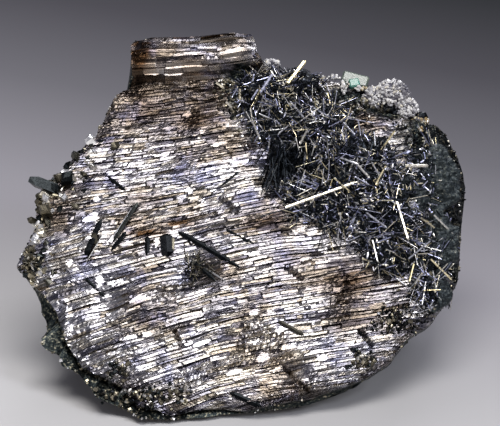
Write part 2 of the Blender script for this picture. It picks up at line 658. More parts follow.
# %% Andorite, tarnished plates
def streaks(tree, sheet, along, across, detail, roughness):
    """Noise drawn out along the rows, with so many streaks in a centimetre along and across them."""
    drawn = add(tree, "ShaderNodeMapping", {"Vector": sheet, "Scale": (along, across, 1.0)})
    inputs = {"Vector": drawn.outputs["Vector"], "Scale": 1.0, "Detail": detail, "Roughness": roughness}
    return add(tree, "ShaderNodeTexNoise", inputs).outputs["Fac"]


def andorite():
    """Bright striated plates, tarnished in patches, on dark rough walls."""
    material, tree, shader = start_material("andorite_plates")
    here = add(tree, "ShaderNodeTexCoord").outputs["Object"]
    plate_mark, wall, tone = (mark_of(tree, name) for name in ("plate", "wall", "tone"))
    sheet = add(tree, "ShaderNodeUVMap", uv_map="rows").outputs["UV"]
    spread = add(tree, "ShaderNodeSeparateXYZ", {"Vector": sheet})
    fine = streaks(tree, sheet, 6.0, 150.0, 3.0, 0.6)
    dashes = streaks(tree, sheet, 16.0, 75.0, 2.0, 0.5)
    patches = lumps_of(tree, here, 5.0)
    specks = lumps_of(tree, here, 0.24, 3.0)
    steel = ramp(tree, plate_mark, (0.0, "#5d5c68"), (0.2, "#a1a0a7"), (0.5, "#dbdadc"), (0.8, "#b8b4ab"),
                 (1.0, "#847a6d"))
    bronze = ramp(tree, plate_mark, (0.0, "#43392f"), (0.5, "#958673"), (1.0, "#665a4d"))
    violet = ramp(tree, plate_mark, (0.0, "#3c4160"), (0.5, "#9093ae"), (1.0, "#4f4e68"))
    higher = level(tree, spread.outputs["Y"], 1.5, 3.5, 0.0, 0.10)
    browner = add(tree, "ShaderNodeMath", {0: patches, 1: higher}, operation="ADD").outputs["Value"]
    body = mix(tree, level(tree, browner, 0.48, 0.68, 0.0, 0.85), steel, bronze)
    elsewhere = add(tree, "ShaderNodeVectorMath", {0: here, 1: (0.3, 0.7, 0.1)}).outputs["Vector"]
    cool = lumps_of(tree, elsewhere, 2.5)
    body = mix(tree, level(tree, cool, 0.52, 0.66, 0.0, 0.7), body, violet)
    body = mix(tree, level(tree, fine, 0.35, 0.62, 0.65, 0.0), body, colour("#3a3634"))
    cast = ramp(tree, tone, (0.0, "#7b624a"), (0.5, "#fdfdff"), (1.0, "#fff8ec"))
    body = mix(tree, 1.0, body, cast, "MULTIPLY")
    rock = ramp(tree, specks, (0.3, "#0d0f0f"), (0.49, "#22282a"), (0.59, "#474a43"), (0.69, "#a59e8a"))
    body = mix(tree, wall, body, rock)
    dull = level(tree, specks, 0.3, 0.7, 0.16, 0.34)
    dull = add(tree, "ShaderNodeMath", {0: dull, 1: level(tree, wall, 0, 1, 0.0, 0.14)}, operation="ADD")
    bumps = ((mix(tree, wall, dashes, specks), 1.0, 0.035), (fine, 0.4, 0.02))
    cover(tree, shader, body, dull.outputs["Value"], bumps, {"Metallic": 0.95})
    return material


def dress(piece, material, slot, *nodes):
    """Give a piece its one material, its body, its slot and the nodes that it stands for."""
    piece.data.materials.clear()
    piece.data.materials.append(material)
    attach(piece, BODY)
    if nodes:
        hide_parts(*nodes)
    print(piece.name, "is", material.name)


dress(ore, andorite(), "andorite", "andorite_mass")

# %% [markdown]
# Thousands of small crystals follow. Each kind is modelled once, one unit long and one unit in
# radius, and then copied into one joined mesh, each copy with its own base, tip, width and turn.

# %% One model, many copies
def take_shape(piece):
    """The vertices and faces of a modelled crystal, which is then removed."""
    shape = (np.array([vert.co[:] for vert in piece.data.vertices]),
             [list(polygon.vertices) for polygon in piece.data.polygons])
    bpy.data.objects.remove(piece)
    return shape


def draw_end(piece, side, reach, width):
    """Extrude the end face on one side of Z by reach, and draw it in to a width, or to a point."""
    for polygon in piece.data.polygons:
        polygon.select = polygon.normal.z * side > 0.9
    bpy.ops.object.mode_set(mode="EDIT")
    bpy.ops.mesh.extrude_region_move(TRANSFORM_OT_translate={"value": (0, 0, side * reach)})
    if width:
        bpy.ops.transform.resize(value=(width, width * 0.6, 1))
    else:
        bpy.ops.mesh.merge(type="CENTER")
    bpy.ops.mesh.select_all(action="DESELECT")
    bpy.ops.object.mode_set(mode="OBJECT")


def unit_crystal(name, sides, foot, shoulder, foot_width, tip_width):
    """A crystal on the unit circle from 0 to 1 along Z, drawn in above its shoulder and below its foot."""
    deselect()
    bpy.ops.mesh.primitive_cylinder_add(vertices=sides, radius=1, depth=shoulder - foot,
                                        location=(0, 0, (foot + shoulder) / 2))
    piece = bpy.context.object
    piece.name = name
    bpy.ops.object.transform_apply(location=True, rotation=True, scale=True)
    bpy.ops.object.mode_set(mode="EDIT")
    bpy.ops.mesh.select_mode(type="FACE")
    bpy.ops.mesh.select_all(action="DESELECT")
    bpy.ops.object.mode_set(mode="OBJECT")
    draw_end(piece, 1, 1 - shoulder, tip_width)
    if foot:
        draw_end(piece, -1, foot, foot_width)
    return take_shape(piece)


def stand(base, tip, width, depth, turn, flat_on_face=False):
    """Matrices and places that put a unit crystal from each base to each tip, in metres."""
    axis = tip - base
    length = np.linalg.norm(axis, axis=1, keepdims=True)
    axis = axis / length
    helper = np.where(np.abs(axis[:, 2:]) < 0.9, (0.0, 0.0, 1.0), (1.0, 0.0, 0.0))
    helper = way(0, 0, 1.0) + 0 * axis if flat_on_face else helper
    aside = np.cross(helper, axis)
    aside /= np.linalg.norm(aside, axis=1, keepdims=True)
    other = np.cross(axis, aside)
    cos, sin = np.cos(turn)[:, None], np.sin(turn)[:, None]
    side = (aside * cos + other * sin) * width[:, None]
    front = (other * cos - aside * sin) * depth[:, None]
    return np.stack((side, front, axis * length), axis=-1), base


def together(first, second):
    """Two sets of placed copies as one."""
    return tuple(np.concatenate(pair) for pair in zip(first, second))


def joined(name, shape, matrices, shades):
    """One mesh of copies of a shape, with each copy's shade marked on its faces."""
    turns, bases = matrices
    verts, polygons = shape
    spots = np.einsum("kij,nj->kni", turns, verts) + bases[:, None, :]
    sizes = np.array([len(polygon) for polygon in polygons])
    corners = np.concatenate(polygons)
    copies = len(bases)
    mesh = bpy.data.meshes.new(name)
    mesh.vertices.add(copies * len(verts))
    mesh.vertices.foreach_set("co", spots.ravel())
    mesh.loops.add(copies * len(corners))
    indices = corners[None, :] + np.arange(copies)[:, None] * len(verts)
    mesh.loops.foreach_set("vertex_index", indices.ravel().astype(np.int32))
    mesh.polygons.add(copies * len(polygons))
    firsts = np.concatenate(([0], np.cumsum(sizes)[:-1]))
    starts = firsts[None, :] + np.arange(copies)[:, None] * len(corners)
    mesh.polygons.foreach_set("loop_start", starts.ravel().astype(np.int32))
    mesh.update(calc_edges=True)
    mesh.validate()
    mesh.shade_flat()
    piece = bpy.data.objects.new(name, mesh)
    bpy.context.scene.collection.objects.link(piece)
    mark_faces(piece, "shade", np.repeat(shades, len(polygons)))
    print(name, "has", copies, "crystals,", copies * int((sizes - 2).sum()), "triangles")
    return piece


needle_shape = unit_crystal("needle_model", 5, 0, 0.93, 1, 0)
point_shape = unit_crystal("point_model", 6, 0, 0.62, 1, 0)
block_shape = unit_crystal("block_model", 5, 0, 0.75, 1, 0.62)
blade_shape = unit_crystal("blade_model", 6, 0.12, 0.80, 0.3, 0.15)
print("needle", len(needle_shape[0]), "vertices, block", len(block_shape[0]))

# %% [markdown]
# The felt lies in flat lumps over the upper right of the face, as in the solid. Under the needles
# a dark lumpy bed shows between them. It is made of balls melted together by a voxel remesh and
# roughened, so no ball is left to see.

# %% The bed of the felt
# (across, up, half length, half breadth, thickness), in mm
MAT_LUMPS = (
    (1.2, 30.6, 2.7, 2.3, 1.5), (4.2, 31.5, 2.0, 1.8, 1.8), (3.0, 27.6, 3.0, 2.7, 1.3),
    (6.6, 27.8, 2.6, 2.1, 1.7), (4.6, 22.3, 2.3, 4.4, 1.0), (9.4, 24.0, 3.6, 2.5, 1.9),
    (8.2, 19.6, 3.4, 3.0, 1.6), (12.4, 20.4, 3.4, 3.2, 2.2), (15.9, 22.6, 2.9, 3.6, 1.7),
    (12.6, 15.6, 3.1, 2.7, 1.7), (16.0, 16.4, 2.5, 3.3, 1.8), (15.9, 11.9, 1.9, 1.9, 1.4))
BED_SHARE = 0.55


def mat_height(across, up):
    """Height of the felt above the smooth face."""
    best = np.zeros(np.shape(across))
    for lump_across, lump_up, length, breadth, thick in MAT_LUMPS:
        away = ((across - lump_across) / length) ** 2 + ((up - lump_up) / breadth) ** 2
        best = np.maximum(best, thick * np.sqrt(np.clip(1 - away, 0, 1)))
    return best


def melted_lumps(name, lumps, voxel, roughness, size):
    """Flattened balls at (across, up, height, sizes), melted into one rough skin."""
    deselect()
    balls = []
    for across, up, height, length, breadth, thick in lumps:
        sizes = (length * MM, breadth * MM, thick * MM)
        spot = on_face(across, up, height)
        bpy.ops.mesh.primitive_ico_sphere_add(subdivisions=3, radius=1, location=spot,
                                              rotation=(FACE_LEAN, 0, 0), scale=sizes)
        balls.append(bpy.context.object)
    for ball in balls:
        ball.select_set(True)
    if len(balls) > 1:
        bpy.ops.object.join()
    piece = bpy.context.object
    piece.name = name
    bpy.ops.object.transform_apply(location=True, rotation=True, scale=True)
    melt = piece.modifiers.new("Melt", "REMESH")
    melt.mode, melt.voxel_size = "VOXEL", voxel * MM
    bpy.ops.object.modifier_apply(modifier=melt.name)
    spots, normals = np.empty(len(piece.data.vertices) * 3), np.empty(len(piece.data.vertices) * 3)
    piece.data.vertices.foreach_get("co", spots)
    piece.data.vertices.foreach_get("normal", normals)
    spots, normals = spots.reshape(-1, 3), normals.reshape(-1, 3)
    spots += normals * (rough_field(spots, size * MM, 5) * roughness * MM)[:, None]
    piece.data.vertices.foreach_set("co", spots.ravel())
    piece.data.update()
    print(name, "has", len(piece.data.polygons), "faces")
    return piece


bed = melted_lumps("needle_bed", [(a, u, float(relief(a, u)) - 0.15, l, b, t * BED_SHARE)
                                  for a, u, l, b, t in MAT_LUMPS], 0.17, 0.40, 0.9)

# %% [markdown]
# The needles are jackstraws: tufts that spread from a common foot, and single needles across them
# in all directions, most of them lying low. They are 0.04 to 0.12 mm thick and up to 2.8 mm long.
# None reaches far past the rim of the face.

# %% Throwing needles on the felt
NEEDLE_TUFTS = 380
NEEDLES_IN_TUFT = (5, 13)
LOOSE_NEEDLES = 900
SPLINTERS = 4200
RIGHT_EDGE = 19.5
FIBRES = 110
MAT_ACROSS, MAT_UP = (-2.5, 19.0), (9.5, 33.5)
TOP_RIM = ((-3.0, 0.1, 0.8, 3.0, 8.6, 11.0, 12.6, 15.7, 17.5, 18.9, 19.5),
           (36.9, 36.5, 34.0, 32.8, 31.9, 29.7, 28.9, 28.5, 27.9, 26.0, 23.5))
OVER_TOP, OVER_RIGHT = 1.1, 0.5
RISE_SHOWS = 0.9


def spots_on_mat(count, dice, edge=0.05, thin=0.0):
    """Random places in the felt, evenly spread, but thinned out to the right of it."""
    found = np.empty((0, 2))
    while len(found) < count:
        tries = np.stack((dice.uniform(*MAT_ACROSS, 4 * count), dice.uniform(*MAT_UP, 4 * count)), axis=-1)
        bare = np.clip((tries[:, 0] - np.interp(tries[:, 1], *CRUST_EDGE) + 2.6) / 3.0, 0, 1)
        keep = (mat_height(tries[:, 0], tries[:, 1]) > edge) & (dice.random(len(tries)) > bare * thin)
        found = np.concatenate((found, tries[keep]))
    return found[:count]


def two_kinds(count, bright, dice):
    """Shades of which most are dark, and a share is bright."""
    return np.where(dice.random(count) < bright, dice.uniform(0.68, 1.0, count), 0.48 * dice.random(count))


def throw_needles(spots, lean, rise, length, radius, lift, dice):
    """Bases, tips and widths of needles that start at spots and point by lean and rise."""
    ground = relief(spots[:, 0], spots[:, 1])
    thick = mat_height(spots[:, 0], spots[:, 1])
    base = on_face(spots[:, 0], spots[:, 1], ground + thick * lift)
    flat = np.cos(rise)
    tip = base + way(np.cos(lean) * flat, np.sin(lean) * flat, np.sin(rise)) * (length * MM)[:, None]
    end_across = spots[:, 0] + np.cos(lean) * flat * length
    end_up = spots[:, 1] + np.sin(lean) * flat * length
    over = thick * lift + np.sin(rise) * length
    inside = end_up + RISE_SHOWS * over < np.interp(end_across, *TOP_RIM) + OVER_TOP
    inside &= end_across < np.interp(row_of(end_across, end_up), *right_rim) + OVER_RIGHT
    inside &= tip[:, 0] < RIGHT_EDGE * MM
    width = (radius * MM)[inside]
    return stand(base[inside], tip[inside], width, width * dice.uniform(0.5, 1.0, len(width)),
                 dice.uniform(0, TURN, len(width)))


print("felt up to", float(mat_height(12.4, 20.4)), "mm thick")

# %% [markdown]
# The felt itself: the needles of a tuft share their foot and their way, and each strays a little.

# %% The needles of the felt
# (least, and how much more the largest has), in mm
NEEDLE_LENGTHS, NEEDLE_RADII = (0.6, 2.2), (0.022, 0.040)
dice = np.random.default_rng(44)
tuft_spots = spots_on_mat(NEEDLE_TUFTS, dice, thin=0.9)
counts = dice.integers(*NEEDLES_IN_TUFT, NEEDLE_TUFTS)
in_tufts = counts.sum()
tuft_feet = np.repeat(tuft_spots, counts, axis=0) + dice.normal(0, 0.18, (in_tufts, 2))
spots = np.concatenate((tuft_feet, spots_on_mat(LOOSE_NEEDLES, dice, thin=0.85)))
lean = np.repeat(dice.uniform(0, TURN, NEEDLE_TUFTS), counts) + dice.normal(0, 0.35, in_tufts)
lean = np.concatenate((lean, dice.uniform(0, TURN, LOOSE_NEEDLES)))
rise = np.repeat(dice.uniform(0.05, 0.6, NEEDLE_TUFTS), counts) + dice.normal(0, 0.2, in_tufts)
rise = np.concatenate((rise, dice.normal(0.10, 0.18, LOOSE_NEEDLES)))
length = NEEDLE_LENGTHS[0] + NEEDLE_LENGTHS[1] * dice.random(len(spots)) ** 2.2
radius = NEEDLE_RADII[0] + NEEDLE_RADII[1] * dice.random(len(spots)) ** 2
felt_stand = throw_needles(spots, lean, rise, length, radius, dice.uniform(0.35, 0.9, len(spots)), dice)
felt = joined("needle_felt", needle_shape, felt_stand, two_kinds(len(felt_stand[1]), 0.30, dice))

# %% [markdown]
# Between the needles lie thousands of short splinters. Six clusters of thicker, brighter ones
# glitter, and a fringe of dark fibres hangs down the left side of the felt.

# %% Splinters and fibres
spots = spots_on_mat(SPLINTERS, dice, thin=0.5)
small = throw_needles(spots, dice.uniform(0, TURN, SPLINTERS), dice.normal(0.2, 0.45, SPLINTERS),
                      dice.uniform(0.18, 0.7, SPLINTERS), dice.uniform(0.03, 0.085, SPLINTERS),
                      dice.uniform(0.45, 0.8, SPLINTERS), dice)
small_shades = two_kinds(len(small[1]), 0.34, dice)

# (across, up, size)
GLITTER = (
    (6.6, 25.7, 1.0), (12.1, 23.2, 1.0), (10.3, 19.4, 0.8),
    (9.0, 17.0, 0.7), (5.6, 28.2, 0.6), (14.6, 19.2, 0.6))
GLINTS = 34
middles = np.repeat(np.array(GLITTER), GLINTS, axis=0)
spots = middles[:, :2] + dice.normal(0, 0.5, (len(middles), 2)) * middles[:, 2:]
many = len(spots)
bright = throw_needles(spots, dice.uniform(0, TURN, many), dice.normal(0.3, 0.5, many),
                       dice.uniform(0.2, 0.6, many), dice.uniform(0.05, 0.13, many),
                       dice.uniform(0.6, 0.9, many), dice)
splinters = joined("small_splinters", block_shape, together(small, bright),
                   np.concatenate((small_shades, dice.uniform(0.75, 0.92, len(bright[1])))))

across, top = dice.uniform(1.6, 5.6, FIBRES), dice.uniform(24.0, 25.6, FIBRES)
drop = dice.uniform(1.5, 4.2, FIBRES)
base = on_face(across, top, relief(across, top) + dice.uniform(0.5, 1.2, FIBRES))
foot_across = across + dice.normal(0, 0.7, FIBRES)
tip = on_face(foot_across, top - drop, relief(foot_across, top - drop) + dice.uniform(0.05, 0.6, FIBRES))
fibre_stand = stand(base, tip, dice.uniform(0.04, 0.09, FIBRES) * MM,
                    dice.uniform(0.03, 0.06, FIBRES) * MM, across)
fibres = joined("dark_fibres", needle_shape, fibre_stand, 0.25 * dice.random(FIBRES))

# %% [markdown]
# The needles that catch the eye are placed one by one, as (across, up) from foot to tip.

# %% The long needles
# (foot, tip, thickness, height of the tip), in mm
LONG_NEEDLES = (
    ((3.1, 18.7), (9.5, 21.2), 0.12, 1.5), ((3.4, 31.0), (5.0, 33.2), 0.24, 1.9),
    ((8.3, 27.1), (9.3, 25.7), 0.11, 1.7), ((5.1, 28.9), (7.1, 27.4), 0.09, 1.7),
    ((3.6, 29.2), (4.8, 27.4), 0.10, 1.6), ((0.2, 27.4), (0.9, 25.4), 0.11, 1.2),
    ((3.9, 22.2), (5.9, 20.8), 0.09, 1.4), ((3.9, 21.6), (5.9, 20.4), 0.09, 1.4),
    ((9.3, 23.0), (10.5, 21.3), 0.10, 2.1), ((12.9, 19.2), (13.8, 15.3), 0.15, 2.4),
    ((16.2, 18.6), (18.0, 17.1), 0.11, 2.0), ((15.8, 14.3), (17.7, 12.7), 0.11, 2.0),
    ((13.8, 14.0), (15.8, 15.8), 0.09, 2.1), ((10.7, 15.7), (11.1, 13.5), 0.10, 1.7),
    ((13.7, 22.8), (15.8, 22.9), 0.15, 2.3), ((15.0, 18.0), (16.2, 17.1), 0.10, 2.1),
    ((14.3, 13.8), (13.8, 11.8), 0.09, 1.6), ((15.0, 13.0), (14.3, 11.7), 0.10, 1.5),
    ((-3.0, 31.4), (-2.3, 30.7), 0.15, 0.9), ((-2.1, 29.4), (-1.6, 28.7), 0.14, 0.9),
    ((0.7, 30.4), (0.1, 29.1), 0.10, 1.7), ((-0.9, 30.5), (-0.9, 29.2), 0.12, 1.5),
    ((2.0, 32.0), (0.9, 29.8), 0.13, 1.8), ((5.2, 26.6), (4.4, 25.0), 0.09, 1.5),
    ((8.0, 23.5), (9.6, 22.6), 0.09, 2.0), ((7.4, 21.5), (8.8, 20.0), 0.09, 1.9),
    ((11.6, 24.4), (12.9, 26.2), 0.10, 1.9), ((10.2, 18.2), (12.0, 16.6), 0.10, 2.0),
    ((17.2, 21.0), (18.2, 22.2), 0.10, 1.6), ((12.0, 22.8), (11.0, 20.6), 0.11, 2.2))
dice = np.random.default_rng(61)
count = len(LONG_NEEDLES)
feet = np.array([needle[0] for needle in LONG_NEEDLES])
ends = np.array([needle[1] for needle in LONG_NEEDLES])
thickness = np.array([needle[2] for needle in LONG_NEEDLES])
heights = np.array([needle[3] for needle in LONG_NEEDLES])
base = on_face(feet[:, 0], feet[:, 1], relief(feet[:, 0], feet[:, 1]) + heights * 0.75)
tip = on_face(ends[:, 0], ends[:, 1], relief(ends[:, 0], ends[:, 1]) + heights)
long_needles = joined("long_needles", needle_shape,
                      stand(base, tip, thickness * MM, thickness * 0.75 * MM, dice.uniform(0, 3, count)),
                      dice.uniform(0.75, 1.0, count))

# %% [markdown]
# These needles are the same kind of sulfosalt, blue-black where they turn from the light and
# white where they catch it, with a few straw-yellow ones. Roughness is low, as on a grown face.

# %% Needle materials
SHOULDER_SPAN = (12.4 * MM, 16.4 * MM)


def needle_metal():
    """Blue-black to bright steel, by each needle's own shade, with a few straw-yellow ones."""
    material, tree, shader = start_material("sulfosalt_needles")
    here = add(tree, "ShaderNodeTexCoord").outputs["Object"]
    shade = mark_of(tree, "shade")
    body = ramp(tree, shade, (0.0, "#060709"), (0.4, "#171c22"), (0.62, "#6e7488"), (0.74, "#c6c9ee"),
                (0.84, "#ffffff"), (1.0, "#e6d6a4"))
    grain = lumps_of(tree, here, 0.25, 2.0)
    body = mix(tree, level(tree, grain, 0.45, 0.75, 0.0, 0.4), body, colour("#353c42"))
    rough = level(tree, grain, 0.3, 0.7, 0.16, 0.42)
    cover(tree, shader, body, rough, ((grain, 0.2, 0.01),), {"Metallic": 0.85})
    return material


def bed_metal():
    """The dark bed between the needles, a little lighter and greener on the rounded shoulder."""
    material, tree, shader = start_material("sulfosalt_felt_bed")
    here = add(tree, "ShaderNodeTexCoord").outputs["Object"]
    grain = lumps_of(tree, here, 0.25)
    felt_dark = ramp(tree, grain, (0.3, "#040506"), (0.56, "#0f1318"), (0.64, "#3c434c"), (0.72, "#b4b8be"))
    stone_dark = ramp(tree, grain, (0.3, "#14191c"), (0.52, "#272f32"), (0.64, "#4b504c"),
                      (0.74, "#a09f95"))
    across = add(tree, "ShaderNodeSeparateXYZ", {"Vector": here}).outputs["X"]
    body = mix(tree, level(tree, across, *SHOULDER_SPAN, 0.0, 1.0), felt_dark, stone_dark)
    rough = level(tree, grain, 0.3, 0.7, 0.3, 0.55)
    cover(tree, shader, body, rough, ((grain, 0.8, 0.1),), {"Metallic": 0.6})
    return material


needles = needle_metal()
dress(bed, bed_metal(), "needles", "needle_mat")
for piece in (felt, splinters, fibres, long_needles):
    dress(piece, needles, "needles", "needle_mat")

# %% [markdown]
# Along the top right edge lies a sugary crust of quartz: hundreds of clear to milky six-sided
# points, a third of a millimetre long, standing out of a lumpy bed in all directions. Tiny grey
# grains sit among them. The last of the crust, at its right end, is gold-coloured.

# %% Lumps and points of quartz
# (across, up, height, half length, half breadth, thickness), in mm
DRUSE_LUMPS = (
    (11.1, 30.4, -0.5, 1.0, 1.2, 1.1), (12.8, 30.8, -0.5, 1.7, 1.5, 1.7),
    (14.0, 29.6, -0.8, 1.2, 1.2, 1.2), (15.2, 28.4, -0.7, 0.9, 0.7, 0.7))
SMALL_DRUSE_LUMPS = ((1.9, 33.7, -0.3, 0.9, 0.6, 0.7),)


def crust_points(lumps, count, dice, sizes, width):
    """Bases and tips of points that stand out of lumps, and the number of each point's lump."""
    area = np.array([lump[3] * lump[4] for lump in lumps])
    number = dice.choice(len(lumps), count, p=area / area.sum())
    chosen = np.array(lumps)[number]
    out = dice.normal(0, 1, (count, 3))
    out[:, 2] = np.abs(out[:, 2])
    out /= np.linalg.norm(out, axis=1, keepdims=True)
    ground = relief(chosen[:, 0], chosen[:, 1]) + chosen[:, 2]
    place = np.stack((chosen[:, 0], chosen[:, 1], ground), axis=-1) + out * chosen[:, 3:] * 0.9
    away = out / chosen[:, 3:] + dice.normal(0, 0.35, (count, 3))
    away /= np.linalg.norm(away, axis=1, keepdims=True)
    length = dice.uniform(*sizes, count)
    base = on_face(*(place - away * length[:, None] * 0.4).T)
    tip = on_face(*(place + away * length[:, None] * 0.6).T)
    radius = length * width * MM * dice.uniform(0.7, 1.2, count)
    depth = radius * dice.uniform(0.7, 1.0, count)
    return stand(base, tip, radius, depth, dice.uniform(0, 3, count)), number


def set_down(lumps, share=1.0):
    """Lumps with their heights counted from the smooth face, and their sizes scaled."""
    return [(across, up, height + float(relief(across, up)), length * share, breadth * share, thick * share)
            for across, up, height, length, breadth, thick in lumps]


print("crust lumps at heights", [round(lump[2], 2) for lump in set_down(DRUSE_LUMPS)])

# %% [markdown]
# A dark seat of ore carries the crust up over the rim. The last lump's points are gold-coloured,
# and points in the dips of the crust are darker.

# %% The quartz crust
SEAT_LUMPS = (
    (12.2, 29.5, -0.9, 2.3, 1.0, 0.9), (9.6, 31.2, -0.7, 1.8, 0.8, 0.7), (14.8, 28.6, -1.0, 1.3, 0.8, 0.8))
POINTS, SMALL_POINTS = 1000, 90
GOLD_LUMP = 3
dice = np.random.default_rng(77)
seat = melted_lumps("crust_seat", set_down(SEAT_LUMPS), 0.14, 0.35, 0.8)
crust_bed = melted_lumps("quartz_bed", set_down(DRUSE_LUMPS, 0.88), 0.14, 0.16, 0.5)
points, lump_number = crust_points(DRUSE_LUMPS, POINTS, dice, (0.18, 0.50), 0.36)
white = lump_number < GOLD_LUMP
clean = np.where(field(points[1][white] / MM, 1.2, 90) > -0.18, 1.0, 0.15)
crust_white = joined("quartz_points", point_shape, (points[0][white], points[1][white]),
                     clean * dice.random(white.sum()))
crust_gold = joined("gold_points", point_shape, (points[0][~white], points[1][~white]),
                    dice.random((~white).sum()))

# %% [markdown]
# Small grains lie scattered beside the crust and between it and the green crystal, some of them
# gold-coloured. The little cluster on the top edge comes last.

# %% Grains, and the small crust
# (across, up, half length, half breadth, number of grains)
GRAIN_SPOTS = ((7.4, 32.3, 0.6, 0.2, 16), (8.5, 31.5, 0.3, 0.5, 26), (9.9, 31.3, 0.3, 0.25, 14))
GOLD_SPOTS = ((15.4, 27.4, 0.2, 0.3, 8), (15.7, 26.3, 0.2, 0.5, 9), (10.2, 31.2, 0.3, 0.2, 6))


def scattered(spots, dice, radius, height, tall=2.0):
    """Small blocks strewn over patches at (across, up, length, breadth, count), standing all ways."""
    patch = np.repeat(np.array(spots), [int(spot[4]) for spot in spots], axis=0)
    many = len(patch)
    across = patch[:, 0] + patch[:, 2] * dice.normal(0, 0.6, many)
    up = patch[:, 1] + patch[:, 3] * dice.normal(0, 0.6, many)
    lean = dice.uniform(0, TURN, many)
    rise, size = dice.uniform(0.2, 1.5, many), dice.uniform(*radius, many)
    base = on_face(across, up, relief(across, up) + height - size)
    out = way(np.cos(lean) * np.cos(rise), np.sin(lean) * np.cos(rise), np.sin(rise))
    tip = base + out * (size * tall * MM)[:, None]
    return stand(base, tip, size * MM, size * dice.uniform(0.6, 1.0, many) * MM, lean)


grains = scattered(GRAIN_SPOTS, dice, (0.08, 0.16), 0.25)
crust_grains = joined("quartz_grains", point_shape, grains, dice.uniform(0.3, 1.0, len(grains[1])))
grains = scattered(GOLD_SPOTS, dice, (0.07, 0.13), 0.2)
gold_grains = joined("gold_grains", point_shape, grains, dice.uniform(0.3, 1.0, len(grains[1])))
small_bed = melted_lumps("small_quartz_bed", set_down(SMALL_DRUSE_LUMPS, 0.85), 0.12, 0.12, 0.4)
points, _ = crust_points(SMALL_DRUSE_LUMPS, SMALL_POINTS, dice, (0.2, 0.42), 0.42)
small_points = joined("small_quartz_points", point_shape, points, dice.random(SMALL_POINTS))

# %% [markdown]
# The quartz is plain milky quartz: colourless crystal with tiny bubbles in it. A Principled shader
# with a low transmission and quartz's own IOR of 1.544 gives its glassy points a white inside. The
# points in the dips of the crust are stained dark, and the last ones are stained golden by iron.

# %% Quartz, milky and clear
QUARTZ_IOR = 1.544


def quartz(name, *stops, clear=0.2):
    """Milky quartz whose points differ a little in colour."""
    material, tree, shader = start_material(name)
    here = add(tree, "ShaderNodeTexCoord").outputs["Object"]
    shade = mark_of(tree, "shade")
    veil = lumps_of(tree, here, 0.6)
    body = mix(tree, level(tree, veil, 0.5, 0.72, 0.0, 0.5), ramp(tree, shade, *stops), colour("#a29c98"))
    rough = level(tree, veil, 0.3, 0.7, 0.08, 0.3)
    cover(tree, shader, body, rough, ((veil, 0.2, 0.05),),
          {"Transmission Weight": clear, "IOR": QUARTZ_IOR})
    return material


milky = quartz("milky_quartz", (0.0, "#4c4b56"), (0.25, "#a19fa3"), (0.6, "#d8d7d6"), (0.9, "#f5f3ef"),
               (1.0, "#eae0c4"))
golden = quartz("golden_quartz", (0.0, "#5e543e"), (0.4, "#b89c6a"), (0.8, "#efe8cc"), (1.0, "#f6f4ea"))
for piece in (crust_bed, crust_white, crust_grains):
    dress(piece, milky, "quartz", "quartz_druse")
for piece in (crust_gold, gold_grains):
    dress(piece, golden, "quartz", "quartz_druse")
for piece in (small_bed, small_points):
    dress(piece, milky, "quartz", "quartz_druse_small")

# %% [markdown]
# At the left end of the crust sits one pale green tablet, thick and translucent, with a darker
# turquoise heart low in it. It is a cube stretched to a tablet, with its edges bevelled, and the
# heart is a second, smaller one grown into it.

# %% The pale green crystal
GREEN_CENTRE = (9.5, 32.2, -0.15)
GREEN_SIZE = (2.4, 1.15, 0.75)
GREEN_TURN = math.radians(-16)
HEART_CENTRE, HEART_SIZE, HEART_TURN = (9.4, 31.75, 0.0), (0.95, 0.8, 0.75), GREEN_TURN + 0.5
GREEN_IOR = 1.53


def tablet(name, centre, size, turn, bevel):
    """A stretched cube on the face with bevelled edges."""
    deselect()
    bpy.ops.mesh.primitive_cube_add(size=1)
    piece = bpy.context.object
    piece.name = name
    bpy.ops.object.mode_set(mode="EDIT")
    bpy.ops.mesh.select_all(action="SELECT")
    bpy.ops.transform.resize(value=tuple(part * MM for part in size))
    bpy.ops.mesh.bevel(offset=bevel * MM, segments=1, affect="EDGES")
    bpy.ops.object.mode_set(mode="OBJECT")
    piece.rotation_mode = "QUATERNION"
    piece.rotation_quaternion = Quaternion((1, 0, 0), FACE_LEAN) @ Quaternion((0, 0, 1), turn)
    piece.location = on_face(centre[0], centre[1], float(relief(centre[0], centre[1])) + centre[2])
    bpy.ops.object.transform_apply(location=True, rotation=True, scale=True)
    return piece


def green_crystal(name, body_colour, clear):
    """Pale green, translucent, with faint veils."""
    material, tree, shader = start_material(name)
    here = add(tree, "ShaderNodeTexCoord").outputs["Object"]
    veil = lumps_of(tree, here, 0.7)
    body = mix(tree, level(tree, veil, 0.4, 0.7, 0.0, 0.5), colour(body_colour), colour("#a3a999"))
    rough = level(tree, veil, 0.3, 0.7, 0.06, 0.22)
    cover(tree, shader, body, rough, ((veil, 0.15, 0.05),),
          {"Transmission Weight": clear, "IOR": GREEN_IOR})
    return material


pale = tablet("green_tablet", GREEN_CENTRE, GREEN_SIZE, GREEN_TURN, 0.14)
heart = tablet("green_heart", HEART_CENTRE, HEART_SIZE, HEART_TURN, 0.12)
dress(pale, green_crystal("pale_green_crystal", "#5f6e63", 0.4), "green_crystal", "pale_green_crystal")
dress(heart, green_crystal("turquoise_crystal", "#3f9686", 0.3), "green_crystal", "pale_green_crystal")

# %% [markdown]
# Small dark crystals of the same ore finish the lump. First come the blocks on the left rim. The
# largest ten are placed by hand, and two hundred small ones crowd along the rim's line.

